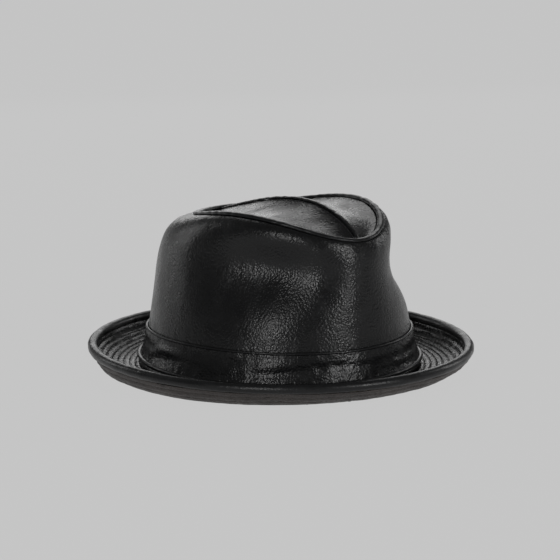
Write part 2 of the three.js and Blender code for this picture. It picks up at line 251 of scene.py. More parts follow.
def tip_surface(w, side, sign):
    """Upper face of the crown top, from the ridge at side 0 to the rim at side 1."""
    ridge = ridge_point(w)
    phi = tip_angle(ridge[..., 1])
    dip = 4 * TIP_SAG * side * (1 - side) * np.sin(phi)
    z = ridge[..., 2] + (rim_height(phi) - ridge[..., 2]) * side - dip
    x = sign * side * TIP["half"] * np.sin(phi)
    return np.stack(np.broadcast_arrays(x, ridge[..., 1], z), axis=-1)


# ---- Grids ----------------------------------------------------------------------------------

def angles(count):
    return np.linspace(0, 2 * PI, count, endpoint=False)


def grid_normals(points, closed):
    """Unit normals of a grid [level, phi], facing away from the head on an upright wall."""
    if closed:
        along = np.roll(points, -1, axis=1) - np.roll(points, 1, axis=1)
    else:
        along = np.gradient(points, axis=1)
    normal = np.cross(along, np.gradient(points, axis=0))
    return normal / np.maximum(np.linalg.norm(normal, axis=-1, keepdims=True), 1e-9)


def waves(points, height, length, seed, squeeze=(1, 1, 1)):
    """A smooth random field with ripples of about the given height and length.

    A squeeze below 1 on an axis draws the ripples out along it, and above 1 shortens them.
    """
    rng = np.random.default_rng(seed)
    points = points * squeeze
    total = np.zeros(points.shape[:-1])
    for _ in range(WAVE_COUNT):
        wave = rng.normal(size=3)
        wave *= 2 * PI / (length * rng.uniform(*WAVE_SPREAD) * np.linalg.norm(wave))
        total += np.cos(points @ wave + rng.uniform(0, 2 * PI))
    return height * (total / math.sqrt(WAVE_COUNT / 2))


def bell(distance, width):
    return np.exp(-(distance / width) ** 2)


def upwards(count):
    return np.tile([0.0, 0.0, 1.0], (count, 1))


# ---- Mesh builders --------------------------------------------------------------------------

def signed_volume(points, quads):
    a, b, c, d = (points[quads[:, i]] for i in range(4))
    return (np.cross(a, b) * c).sum() + (np.cross(a, c) * d).sum()


def make_piece(name, points, quads, material, nodes=()):
    """One mesh object riding on the root body, with its faces turned outwards."""
    points = points.reshape(-1, 3)
    quads = np.asarray(quads)
    if signed_volume(points, quads) < 0:
        quads = quads[:, ::-1]
    mesh = bpy.data.meshes.new(name)
    mesh.from_pydata((points * MM).tolist(), [], quads.tolist())
    mesh.polygons.foreach_set("use_smooth", [True] * len(mesh.polygons))
    mesh.materials.append(material)
    mesh.validate()
    piece = bpy.data.objects.new(name, mesh)
    bpy.context.scene.collection.objects.link(piece)
    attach(piece, "root")
    if nodes:
        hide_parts(*nodes)
    return piece


def loop_quads(rows, columns):
    """Quads of a grid that closes on itself both ways."""
    row, column = np.meshgrid(np.arange(rows), np.arange(columns), indexing="ij")
    row_after = (row + 1) % rows
    column_after = (column + 1) % columns
    corners = [row * columns + column, row * columns + column_after,
               row_after * columns + column_after, row_after * columns + column]
    return np.stack([corner.ravel() for corner in corners], axis=-1)


def shell_ring(name, outer, inner, material, nodes):
    """A ring shell between two grids [level, phi]."""
    points = np.concatenate([outer, inner[::-1]])
    quads = loop_quads(*points.shape[:2])
    return make_piece(name, points, quads, material, nodes)


def slab(name, upper, lower, material, nodes):
    """A closed patch between two grids that face each other."""
    rows, columns = upper.shape[:2]
    size = rows * columns
    index = np.arange(size).reshape(rows, columns)
    face = np.stack([index[:-1, :-1], index[:-1, 1:], index[1:, 1:], index[1:, :-1]], axis=-1)
    face = face.reshape(-1, 4)
    border = np.concatenate([index[0, :-1], index[:-1, -1], index[-1, :0:-1], index[:0:-1, 0]])
    after = np.roll(border, -1)
    sides = np.stack([border, border + size, after + size, after], axis=-1)
    quads = np.concatenate([face, face[:, ::-1] + size, sides])
    return make_piece(name, np.concatenate([upper.reshape(-1, 3), lower.reshape(-1, 3)]),
                      quads, material, nodes)


def tube_ring(name, centres, outward, upward, profile, material, nodes):
    """A ring with the section profile, a list of (outward, upward) distances."""
    profile = np.asarray(profile)
    points = (centres[None] + profile[:, 0, None, None] * outward[None]
              + profile[:, 1, None, None] * upward[None])
    return make_piece(name, points, loop_quads(*points.shape[:2]), material, nodes)


def circle(radius, height=None):
    turn = angles(ROUND_SIDES)
    return np.stack([radius * np.cos(turn), (height or radius) * np.sin(turn)], axis=-1)


def stitch_template():
    """A short six-sided bead of thread along X, of unit length and radius, with its ends bowed down."""
    stations = np.array([-0.5, -0.42, -0.2, 0.2, 0.42, 0.5])
    radii = np.array([0.35, 0.8, 1.0, 1.0, 0.8, 0.35])
    sides = 6
    turn = angles(sides)
    ring = np.stack([np.zeros(sides), np.cos(turn), np.sin(turn)], axis=-1)
    points = ring[None] * radii[:, None, None]
    points[..., 0] = stations[:, None]
    bow = (np.abs(stations) * 2)[:, None] ** 4 * 0.9
    points[..., 2] -= bow
    quads = loop_quads(len(stations), sides)[:-sides]
    last = sides * (len(stations) - 1)
    ends = [[3, 2, 1, 0], [0, 5, 4, 3],
            [last, last + 1, last + 2, last + 3], [last + 3, last + 4, last + 5, last]]
    return points.reshape(-1, 3), np.concatenate([quads, ends])


def stitches(name, runs, material):
    """Threads along runs of (centres, tangents, normals)."""
    bead, quads = stitch_template()
    bead = bead * [STITCH_LENGTH, STITCH_RADIUS, STITCH_RADIUS]
    points = []
    for centres, tangents, normals in runs:
        across = np.cross(normals, tangents)
        points.append(centres[:, None] + bead[None, :, :1] * tangents[:, None]
                      + bead[None, :, 1:2] * across[:, None] + bead[None, :, 2:] * normals[:, None])
    points = np.concatenate(points)
    count = len(points)
    quads = (quads[None] + len(bead) * np.arange(count)[:, None, None]).reshape(-1, 4)
    return make_piece(name, points, quads, material)


def run_along(path, normals, closed):
    """Evenly spaced places along a line of points, with the line's direction at each."""
    if closed:
        path = np.concatenate([path, path[:1]])
        normals = np.concatenate([normals, normals[:1]])
    distance = np.concatenate([[0], np.cumsum(np.linalg.norm(np.diff(path, axis=0), axis=1))])
    count = int(distance[-1] / STITCH_PITCH)
    at = (np.arange(count) + 0.5) * distance[-1] / count
    centres = np.stack([np.interp(at, distance, path[:, i]) for i in range(3)], axis=-1)
    facing = np.stack([np.interp(at, distance, normals[:, i]) for i in range(3)], axis=-1)
    slopes = np.gradient(path, distance, axis=0)
    tangents = np.stack([np.interp(at, distance, slopes[:, i]) for i in range(3)], axis=-1)
    tangents /= np.linalg.norm(tangents, axis=-1, keepdims=True)
    facing -= (facing * tangents).sum(axis=-1, keepdims=True) * tangents
    facing /= np.linalg.norm(facing, axis=-1, keepdims=True)
    return centres, tangents, facing


# ---- Materials: scales are ripples or cells in a metre, depths are metres -------------------

LEATHER_SPECULAR = 0.32
LEATHER_ROUGHNESS = 0.27
ROUGHNESS_BELOW = 0.07           # how much glossier the leather gets in places
ROUGHNESS_ABOVE = 0.09           # and how much duller
PEBBLES = 620.0
PEBBLE_DEPTH = 0.00012
DOME_SHARE = 1.6                 # weights of the pebbles, the coarse grain and the pores
COARSE_SHARE = 0.7
PORE_SHARE = 0.5
CREASE_REACH = 0.16              # of the painted shade in the creases, to each side of a pebble's edge, in cells
CREASE_SHADE = 0.45
WARP_SCALE = 300.0
WARP_REACH = 0.0012
SATIN_THREADS = 1400.0


class Nodes:
    """A short way to write one material's node tree."""

    def __init__(self, name):
        self.material = bpy.data.materials.new(name)
        self.material.use_nodes = True
        self.tree = self.material.node_tree
        self.shader = self.tree.nodes["Principled BSDF"]
        self.place = self.tree.nodes.new("ShaderNodeTexCoord").outputs["Object"]

    def node(self, kind, inputs=None, **settings):
        node = self.tree.nodes.new(kind)
        for key, value in settings.items():
            setattr(node, key, value)
        for key, value in (inputs or {}).items():
            self.feed(node.inputs[key], value)
        return node

    def feed(self, socket, value):
        if isinstance(value, bpy.types.NodeSocket):
            self.tree.links.new(value, socket)
        else:
            socket.default_value = value

    def noise(self, scale, detail=2.0):
        node = self.node("ShaderNodeTexNoise", {"Vector": self.place, "Scale": scale,
                                                "Detail": detail})
        return node.outputs["Fac"]

    def cells(self, scale, feature, place):
        node = self.node("ShaderNodeTexVoronoi", {"Vector": place, "Scale": scale},
                         feature=feature)
        return node.outputs["Distance"]

    def bands(self, scale, along, distortion=0.0):
        node = self.node("ShaderNodeTexWave", {"Vector": self.place, "Scale": scale,
                                               "Distortion": distortion}, bands_direction=along)
        return node.outputs["Fac"]

    def maths(self, operation, *values):
        node = self.node("ShaderNodeMath", dict(enumerate(values)), operation=operation)
        return node.outputs[0]

    def spread(self, value, low, high, to_low=0.0, to_high=1.0):
        node = self.node("ShaderNodeMapRange", {"Value": value, "From Min": low, "From Max": high,
                                                "To Min": to_low, "To Max": to_high})
        return node.outputs["Result"]

    def mix(self, share, a, b):
        node = self.node("ShaderNodeMix", {"Factor": share, "A": a, "B": b}, data_type="RGBA")
        return node.outputs["Result"]

    def bump(self, height, depth, strength=1.0):
        node = self.node("ShaderNodeBump", {"Height": height, "Distance": depth,
                                            "Strength": strength})
        return node.outputs["Normal"]

    def finish(self, **inputs):
        for key, value in inputs.items():
            self.feed(self.shader.inputs[key.replace("_", " ")], value)
        return self.material


def warped(nodes, scale, amount):
    """The place, pushed about by noise so that a cell pattern loses its regular look."""
    push = nodes.node("ShaderNodeTexNoise", {"Vector": nodes.place, "Scale": scale, "Detail": 2.0})
    centred = nodes.node("ShaderNodeVectorMath", {0: push.outputs["Color"], 1: (0.5, 0.5, 0.5)},
                         operation="SUBTRACT").outputs[0]
    scaled = nodes.node("ShaderNodeVectorMath", {0: centred, "Scale": amount},
                        operation="SCALE").outputs[0]
    return nodes.node("ShaderNodeVectorMath", {0: nodes.place, 1: scaled},
                      operation="ADD").outputs[0]


def shaded(colour, share):
    return tuple(share * channel for channel in colour[:3]) + (1,)


def leather(name, dark, light, roughness=LEATHER_ROUGHNESS, grain=1.0, pebbles=PEBBLES):
    """Pebbled leather: rounded cells with painted shade in the creases between them, pores and soft
    mottling.
    """
    nodes = Nodes(name)
    place = warped(nodes, WARP_SCALE, WARP_REACH)
    edge = nodes.cells(pebbles, "DISTANCE_TO_EDGE", place)
    domes = nodes.maths("SUBTRACT", 1.0, nodes.cells(pebbles, "F1", place))
    raised = nodes.maths("MULTIPLY", domes, DOME_SHARE)
    coarse = nodes.maths("MULTIPLY_ADD", nodes.noise(260.0, 3.0), COARSE_SHARE, raised)
    height = nodes.maths("MULTIPLY_ADD", nodes.noise(1500.0, 1.0), PORE_SHARE, coarse)
    mottle = nodes.spread(nodes.noise(38.0, 3.0), 0.3, 0.7)
    # painted shade: the base colour darkens towards each pebble's edge, in the creases between pebbles
    mottle_and_crease_shade = nodes.mix(nodes.spread(edge, 0.0, CREASE_REACH), shaded(dark, CREASE_SHADE),
                        nodes.mix(mottle, dark, light))
    gloss = nodes.spread(nodes.noise(90.0, 3.0), 0.25, 0.75, roughness - ROUGHNESS_BELOW,
                         roughness + ROUGHNESS_ABOVE)
    nodes.shader.inputs["Specular IOR Level"].default_value = LEATHER_SPECULAR
    return nodes.finish(Base_Color=mottle_and_crease_shade, Roughness=gloss,
                        Normal=nodes.bump(height, PEBBLE_DEPTH * grain))


def thread(name, colour):
    """Twisted polyester, with fine diagonal ply lines and painted shade in the grooves between the
    plies.
    """
    nodes = Nodes(name)
    ply = nodes.bands(900.0, "DIAGONAL", distortion=2.0)
    # painted shade: the thread's colour drops to half in the troughs of the ply bands
    return nodes.finish(Base_Color=nodes.mix(ply, shaded(colour, 0.5), colour), Roughness=0.55,
                        Normal=nodes.bump(ply, depth=0.0001, strength=0.6))


def satin(name, dark, light):
    """Woven satin lining: fine cross threads, a soft sheen and slight shading."""
    nodes = Nodes(name)
    woven = nodes.maths("MULTIPLY", nodes.bands(SATIN_THREADS, "X"),
                        nodes.bands(SATIN_THREADS, "Z"))
    tone = nodes.mix(nodes.spread(nodes.noise(30.0), 0.3, 0.7), dark, light)
    nodes.shader.inputs["Sheen Weight"].default_value = 0.35
    nodes.shader.inputs["Sheen Roughness"].default_value = 0.4
    nodes.shader.inputs["Anisotropic"].default_value = 0.5
    return nodes.finish(Base_Color=tone, Roughness=0.34,
                        Normal=nodes.bump(woven, depth=0.00004, strength=0.5))


def weave(name, dark, light, threads=500.0):
    """Plain woven cloth for the hidden layers and the cord."""
    nodes = Nodes(name)
    woven = nodes.maths("MAXIMUM", nodes.bands(threads, "X", distortion=1.0),
                        nodes.bands(threads, "Y", distortion=1.0))
    return nodes.finish(Base_Color=nodes.mix(woven, dark, light), Roughness=0.9,
                        Normal=nodes.bump(woven, depth=0.0002, strength=0.6))


def moulded(name, dark, light):
    """Extruded plastic with a fine haze."""
    nodes = Nodes(name)
    haze = nodes.noise(1500.0, 3.0)
    return nodes.finish(Base_Color=nodes.mix(haze, dark, light),
                        Roughness=nodes.spread(haze, 0.2, 0.8, 0.4, 0.6),
                        Normal=nodes.bump(haze, depth=0.00003, strength=0.4))


BLACK = leather("black_leather", (0.0035, 0.0037, 0.004, 1), (0.007, 0.0072, 0.0078, 1))
TRIM = leather("trim_leather", (0.004, 0.0042, 0.0046, 1), (0.008, 0.0083, 0.009, 1),
               roughness=0.32, grain=0.6)
UNDER = leather("under_leather", (0.038, 0.033, 0.031, 1), (0.062, 0.054, 0.050, 1),
                roughness=0.5)
SWEAT = leather("sweat_leather", (0.020, 0.016, 0.014, 1), (0.034, 0.027, 0.023, 1),
                roughness=0.55, grain=0.5, pebbles=1900.0)
LINING_SATIN = satin("lining_satin", (0.014, 0.015, 0.019, 1), (0.026, 0.028, 0.034, 1))
BUCKRAM = weave("buckram", (0.17, 0.16, 0.13, 1), (0.32, 0.30, 0.25, 1))
COTTON = weave("cotton", (0.35, 0.32, 0.26, 1), (0.55, 0.51, 0.43, 1), threads=800.0)
REED_PLASTIC = moulded("reed_plastic", (0.03, 0.03, 0.032, 1), (0.06, 0.06, 0.064, 1))
BLACK_THREAD = thread("black_thread", (0.022, 0.022, 0.024, 1))
BROWN_THREAD = thread("under_thread", (0.05, 0.043, 0.038, 1))


# ---- Crown ----------------------------------------------------------------------------------

WALL_ROWS = 150
BUCKRAM_ROWS = 50
BUCKRAM_TOP = 0.91               # level at which the stiffening ends
CROWDING = 1.7
SMOOTH_FOOT = 36                 # height up to which the hatband keeps the wall smooth
STRIP_COLUMNS = 11
BACK_SEAM_FOOT = 32.5            # height of the strip's lower end
BACK_SEAM_TOP = 0.985            # level of its upper end
TIP_START = 0.012                # w of the ends of the crown top's leather
TIP_END = 0.9985
TIP_SEAM = STRIP_WIDTH / 2 - 0.3
TIP_PAST_RIM = 1.015             # side at which that leather ends, under the welt
TIP_EDGE_DROP = 0.9              # how far that edge turns down, and over what width
TIP_EDGE_WIDTH = 1.3
TIP_LAYER_GAP = 0.8
SATIN_FOLD_TOP = 0.2             # keeps the folds of the satin off the stiffening
WELT_LIFT = 0.1
WELT_EXTRA = (0.6, 0.1)          # added to the half width and half height of the frame's welt


def wall_levels(count, top=1.0):
    """Levels that crowd together under the rim, where the shoulder turns fast."""
    share = np.linspace(0, 1, count)
    return top * (1 - (1 - share) ** CROWDING)


def wall_grid(levels, around=AROUND):
    """The side wall with its soft hand-formed unevenness, and its normals."""
    phi, level = np.meshgrid(angles(around), levels)
    points = wall_surface(phi, level)
    normals = grid_normals(points, True)
    z = points[..., 2]
    below_rim = rim_height(phi) - z
    free = np.clip((z - SMOOTH_FOOT) / 25, 0, 1) * np.clip(below_rim / 14, 0, 1)
    broad = waves(points, height=0.35, length=62, seed=3) * free
    soft = waves(points, height=0.07, length=19, seed=5, squeeze=(1, 1, 0.55)) * free
    tug = (waves(points, height=0.05, length=8, seed=7, squeeze=(1, 1, 0.12))
           * bell(below_rim - 6, 7))
    tug += waves(points, height=0.05, length=9, seed=9, squeeze=(1, 1, 0.12)) * bell(z - 35, 6)
    return points + normals * (broad + soft + tug)[..., None], normals


def build_wall():
    outer, normals = wall_grid(wall_levels(WALL_ROWS))
    shell_ring("crown_side_wall_leather", outer, outer - normals * LEATHER, BLACK,
               ["crown_side_wall"])
    inner, normals = wall_grid(wall_levels(BUCKRAM_ROWS, BUCKRAM_TOP), COARSE_AROUND)
    lined = LEATHER + GAP
    shell_ring("crown_side_buckram", inner[1:] - normals[1:] * lined,
               inner[1:] - normals[1:] * (lined + INTERLINING), BUCKRAM,
               ["crown_side_interlining"])


def build_back_seam():
    """The raised strip over the side wall's only join, at the back."""
    half = STRIP_WIDTH / 2 / FOOT["half"]
    across = np.linspace(-1, 1, STRIP_COLUMNS)
    levels = np.linspace(wall_level(PI, BACK_SEAM_FOOT), BACK_SEAM_TOP, 90)
    phi, level = np.meshgrid(PI + across * half, levels)
    points = wall_surface(phi, level)
    normals = grid_normals(points, False)
    lift = 1.0 - 0.75 * np.abs(across) ** 4 + waves(points, height=0.05, length=7, seed=21)
    slab("crown_back_seam_strip", points + normals * lift[..., None], points - normals * 0.2,
         BLACK, ["crown_back_strip"])
    runs = []
    for side in (-1, 1):
        path = wall_surface(PI + side * half * 1.75, levels)
        facing = oval_normal(FOOT, np.full(len(levels), PI + side * half))
        runs.append(run_along(path + facing * THREAD_LIFT, facing, False))
    stitches("crown_back_seam_stitches", runs, BLACK_THREAD)


def tip_detail(points, side, w):
    """Soft dents of the crown top that die away at its seams, and puckers along them."""
    free = np.sin(PI * np.clip(side, 0, 1)) * np.clip(np.sin(PI * w) * 2.5, 0, 1)
    at_seams = bell(side - 1, 0.12) + bell(side, 0.08)
    dents = (waves(points, height=0.35, length=36, seed=11) * free
             + waves(points, height=0.06, length=13, seed=13) * free)
    return dents + waves(points, height=0.09, length=7, seed=15, squeeze=(0.3, 1, 1)) * at_seams


def build_tip_half(name, sign, node):
    w, share = np.meshgrid(np.linspace(TIP_START, TIP_END, 200), np.linspace(0, 1, 70),
                           indexing="ij")
    half = TIP["half"] * np.sin(tip_angle(ridge_point(w)[..., 1]))
    start = np.minimum(TIP_SEAM / half, 0.9)
    side = start + (TIP_PAST_RIM - start) * share
    upper = tip_surface(w, side, sign)
    upper[..., 2] += tip_detail(upper, side, w)
    to_edge = (TIP_PAST_RIM - side) * half
    upper[..., 2] -= TIP_EDGE_DROP * bell(to_edge, TIP_EDGE_WIDTH)
    lower = upper - [0, 0, LEATHER]
    slab(name, upper, lower, BLACK, [node])


def build_tip_layers():
    """The stiffening and the satin under both halves of the crown top."""
    w, across = np.meshgrid(np.linspace(0.03, 0.997, 90), np.linspace(-0.92, 0.92, 60),
                            indexing="ij")
    surface = tip_surface(w, np.abs(across), np.sign(across))
    surface[..., 2] += np.minimum(tip_detail(surface, np.abs(across), w), 0)
    top = LEATHER + TIP_LAYER_GAP
    slab("crown_tip_buckram", surface - [0, 0, top], surface - [0, 0, top + INTERLINING], BUCKRAM,
         ["crown_tip_interlining"])
    inner = top + INTERLINING + TIP_LAYER_GAP
    folds = np.minimum(waves(surface, height=0.25, length=12, seed=31), SATIN_FOLD_TOP)
    satin_top = surface - [0, 0, inner]
    satin_low = surface - [0, 0, inner + LINING]
    for face in (satin_top, satin_low):
        face[..., 2] += folds
    return slab("crown_tip_satin", satin_top, satin_low, LINING_SATIN,
                ["crown_tip_lining"])


def build_centre_strip():
    """The raised strip over the seam between the two halves, with a row of stitches each side."""
    w, across = np.meshgrid(np.linspace(0.004, 0.999, 260), np.linspace(-1, 1, STRIP_COLUMNS),
                            indexing="ij")
    middle = ridge_point(w)
    middle[..., 0] = across * STRIP_WIDTH / 2
    lift = 1.05 - 0.85 * np.abs(across) ** 4 + waves(middle, height=0.07, length=6, seed=17)
    slab("crown_tip_seam_strip", middle + lift[..., None] * [0, 0, 1], middle - [0, 0, 0.5], BLACK,
         ["crown_tip_centre_strip"])
    runs = []
    places = np.linspace(0.05, 0.985, 300)
    up = upwards(len(places))
    half = TIP["half"] * np.sin(tip_angle(ridge_point(places)[..., 1]))
    for sign in (-1, 1):
        path = tip_surface(places, (STRIP_WIDTH / 2 + 1.3) / half, sign)
        runs.append(run_along(path + up * THREAD_LIFT, up, False))
    stitches("crown_tip_seam_stitches", runs, BLACK_THREAD)


def build_welt():
    phi = angles(AROUND)
    centres = oval_point(WELT, phi, rim_height(phi) + WELT_LIFT)
    outward = oval_normal(WELT, phi)
    swell = 1 + waves(centres, height=0.05, length=8, seed=19)[:, None]
    section = circle(WELT_HALF_WIDTH + WELT_EXTRA[0], WELT_HALF_HEIGHT + WELT_EXTRA[1])
    tube_ring("crown_rim_piping", centres, outward * swell, upwards(AROUND) * swell, section,
              TRIM, ["crown_rim_welt"])


# ---- Hatband --------------------------------------------------------------------------------

UPPER_PIPING_HEIGHT = 30.1       # mean heights of the two pipings
LOWER_PIPING_HEIGHT = 8.5
PIPING_LIFT = 0.1
LEVEL_STEP = 0.002               # either side of a piping, to find the wall's slope there
KEEPER_HALF_WIDTH = 8
KEEPER_COLUMNS = 40
KEEPER_LIFT = 2.6
KEEPER_STITCH_COLUMNS = (3, 36)


def upper_piping_height(phi):
    return UPPER_PIPING_HEIGHT + 0.5 * np.cos(phi) - 0.9 * np.cos(2 * phi)


def lower_piping_height(phi):
    return LOWER_PIPING_HEIGHT - 0.7 * np.cos(phi)


def piping_path(height, radius):
    """The middle of a piping that lies on the wall, at a height given as a function of phi."""
    phi = angles(AROUND)
    level = wall_level(phi, height(phi))
    near = wall_surface(np.stack([phi, phi]), np.stack([level - LEVEL_STEP, level + LEVEL_STEP]))
    rise = near[1] - near[0]
    along = np.roll(near[0], -1, axis=0) - np.roll(near[0], 1, axis=0)
    normal = np.cross(along, rise)
    normal /= np.linalg.norm(normal, axis=-1, keepdims=True)
    return near.mean(axis=0) + normal * (radius + PIPING_LIFT)


def build_piping(name, height, radius, node, seed):
    centres = piping_path(height, radius)
    outward = oval_normal(FOOT, angles(AROUND))
    swell = 1 + waves(centres, height=0.04, length=9, seed=seed)[:, None]
    tube_ring(name, centres, outward * swell, upwards(AROUND) * swell, circle(radius), TRIM,
              [node])


def between_pipings(phi, share, under_low, under_high):
    """The wall between the two pipings, reaching a little way under each of them."""
    low = lower_piping_height(phi) + LOWER_PIPING_RADIUS - under_low
    high = upper_piping_height(phi) - UPPER_PIPING_RADIUS + under_high
    z = low + (high - low) * share[:, None]
    phi = np.broadcast_to(phi, z.shape)
    return wall_surface(phi, wall_level(phi, z))


def build_hatband():
    """The band, crumpled along its middle and puckered where it meets the pipings."""
    share = np.linspace(0, 1, 60)
    points = between_pipings(angles(AROUND), share, under_low=0.7, under_high=0.5)
    normals = grid_normals(points, True)
    middle = np.sin(PI * share)[:, None]
    crumple = (waves(points, height=0.2, length=15, seed=23, squeeze=(0.35, 0.35, 1.6))
               + waves(points, height=0.07, length=9, seed=25))
    pucker = waves(points, height=0.14, length=6, seed=27, squeeze=(1, 1, 0.2))
    edge = bell(share, 0.16)[:, None] + bell(share - 1, 0.16)[:, None]
    lift = GAP + LEATHER + crumple * middle + pucker * edge
    shell_ring("hatband_leather", points + normals * lift[..., None], points + normals * 0.15,
               BLACK, ["hatband"])


def build_back_tab():
    """The folded tab that covers the hatband's join at the back."""
    across = np.linspace(-1, 1, KEEPER_COLUMNS)
    phi = PI + across * KEEPER_HALF_WIDTH / FOOT["half"]
    points = between_pipings(phi, np.linspace(0, 1, 50), under_low=0.5, under_high=0.3)
    normals = grid_normals(points, False)
    lift = KEEPER_LIFT - 0.7 * np.abs(across) ** 8 + waves(points, height=0.08, length=9, seed=29)
    slab("hatband_back_keeper", points + normals * lift[..., None], points + normals * 1.6,
         BLACK, ["hatband_back_tab"])
    face = points + normals * (KEEPER_LIFT + 0.05)
    runs = []
    for column in KEEPER_STITCH_COLUMNS:
        runs.append(run_along(face[3:-3, column], normals[3:-3, column], False))
    stitches("hatband_keeper_stitches", runs, BLACK_THREAD)


# ---- Brim -----------------------------------------------------------------------------------

BRIM_ROWS = 190
PUFF_HEIGHT = 0.22               # of the leather between two stitched rows
CHANNEL_DEPTH = 0.34             # of the groove that a row pulls into it
CHANNEL_WIDTH = 0.75
QUILT_SINK = 0.15                # the face, before its puffs, lies this far under the frame's
QUILT_THREAD_LIFT = 0.12
SKIN_DRAWN = 0.8                 # thickness of each quilted skin
BRIM_BUCKRAM_END = 0.88          # level at which the brim's stiffening ends
BRIM_BUCKRAM_HALF = 0.4
MOUTH = 0.62                     # half angle of the roll's slot, in radians
ROLL_SIDES = 40


def brim_grid(height):
    """A face of the brim at a height off its middle, quilted by its stitched rows."""
    last = 1 - (1 - FLAT_SHARE) * ROLL_INSET / (PI / 2 * (ROLL_HEIGHT - BRIM_MIDDLE))
    phi, level = np.meshgrid(angles(AROUND), np.linspace(0, last, BRIM_ROWS))
    points = brim_surface(phi, level)
    normals = -grid_normals(points, True)
    steps = np.linalg.norm(np.diff(points, axis=0), axis=-1)
    to_roll = np.concatenate([np.cumsum(steps[::-1], axis=0)[::-1], np.zeros((1, AROUND))])
    to_roll = to_roll + ROLL_INSET
    channel = sum(bell(to_roll - row, CHANNEL_WIDTH) for row in row_distances())
    puff = 0.5 - 0.5 * np.cos(2 * PI * (to_roll - ROW_FIRST) / ROW_SPACING)
    quilt = PUFF_HEIGHT * puff - CHANNEL_DEPTH * channel
    side = int(np.sign(height))
    ease = waves(points, height=0.14, length=11, seed=33 + side) * puff
    ease = ease + waves(points, height=0.3, length=45, seed=41)
    ease *= np.clip((points[..., 2] - BRIM_MIDDLE) / 5, 0, 1)
    pucker = waves(points, height=0.16, length=3.4, seed=37 + side) * channel
    raised = height + side * (quilt + pucker) + ease
    face = points + normals * raised[..., None]
    face[..., 2] = np.maximum(face[..., 2], REST_CLEARANCE)
    return face, normals, to_roll


def row_distances():
    return ROW_FIRST + ROW_SPACING * np.arange(ROW_COUNT)


def row_runs(surface, normals, to_roll, side):
    """Stitched rows that follow the brim at set distances from its edge."""
    runs = []
    columns = np.arange(surface.shape[1])
    for distance in row_distances():
        place = np.array([np.interp(-distance, -to_roll[:, c], np.arange(len(to_roll)))
                          for c in columns])
        low = np.clip(place.astype(int), 0, len(to_roll) - 2)
        share = (place - low)[:, None]
        path = surface[low, columns] * (1 - share) + surface[low + 1, columns] * share
        facing = normals[low, columns] * side
        runs.append(run_along(path + facing * QUILT_THREAD_LIFT, facing, True))
    return runs


def build_brim():
    near = BRIM_SKIN / 2 + GAP
    for name, side, material, slot, node in (
            ("brim_top", 1, BLACK, "black_leather", "brim_top_leather"),
            ("brim_under", -1, UNDER, "under_leather", "brim_under_leather")):
        face, normals, to_roll = brim_grid(side * (near + BRIM_SKIN - QUILT_SINK))
        back = face - normals * side * SKIN_DRAWN
        shell_ring(name + "_skin", face, back, material, [node])
        colour = BLACK_THREAD if side > 0 else BROWN_THREAD
        stitches(name + "_stitches", row_runs(face, normals, to_roll, side), colour)
    phi, level = np.meshgrid(angles(COARSE_AROUND), np.linspace(0, BRIM_BUCKRAM_END, 40))
    points = brim_surface(phi, level)
    normals = -grid_normals(points, True)
    shell_ring("brim_buckram", points + normals * BRIM_BUCKRAM_HALF,
               points - normals * BRIM_BUCKRAM_HALF, BUCKRAM, ["brim_interlining"])


def roll_axes(phi):
    """Middle of the roll, the brim's direction there, and the direction square to it."""
    ones = np.ones_like(phi)
    middle = brim_surface(phi, ones)
    outward = middle - brim_surface(phi, 0.99 * ones)
    outward /= np.linalg.norm(outward, axis=-1, keepdims=True)
    along = np.roll(middle, -1, axis=0) - np.roll(middle, 1, axis=0)
    square = np.cross(outward, along)
    square /= np.linalg.norm(square, axis=-1, keepdims=True)
    return middle, outward, square


def build_roll():
    """The leather rolled over the brim's edge, open towards the brim, and the cord inside it."""
    middle, outward, square = roll_axes(angles(AROUND))
    turn = np.linspace(MOUTH, 2 * PI - MOUTH, ROLL_SIDES)
    outer = [(-ROLL_RADIUS * math.cos(t), ROLL_RADIUS * math.sin(t)) for t in turn]
    inside = ROLL_RADIUS - ROLL_SKIN
    inner = [(-inside * math.cos(t), inside * math.sin(t)) for t in turn[::-1]]
    swell = (1 + waves(middle, height=0.012, length=12, seed=43)[:, None]
             + waves(middle, height=0.012, length=40, seed=45)[:, None])
    tube_ring("brim_rolled_edge", middle, outward * swell, square * swell, outer + inner, TRIM,
              ["brim_edge_binding"])
    tube_ring("brim_edge_filler", middle, outward, square, circle(CORD_RADIUS - 0.1), COTTON,
              ["brim_edge_cord"])


# ---- Inside ---------------------------------------------------------------------------------

SWEAT_ROWS = 60
SWEAT_STITCH_ROWS = (6, 10)
SWEAT_LEATHER = 1.1
TAPE_HALF_WIDTH = 6
TAPE_INWARD = 1.9                # from the sweatband's frame oval to the tape's outer face
TAPE_THICKNESS = 0.6
TAPE_COLUMNS = 30
SATIN_AROUND = 360
SATIN_ROWS = 60
SATIN_TOP = 0.93                 # level at which the satin leaves the wall
SATIN_DRAWN_IN = 4.5             # how far inside the crown top's oval it ends
SATIN_UNDER_RIM = 6.2            # how far under the rim it ends
SATIN_ARCH = 2.2                 # how much it arches on the way there


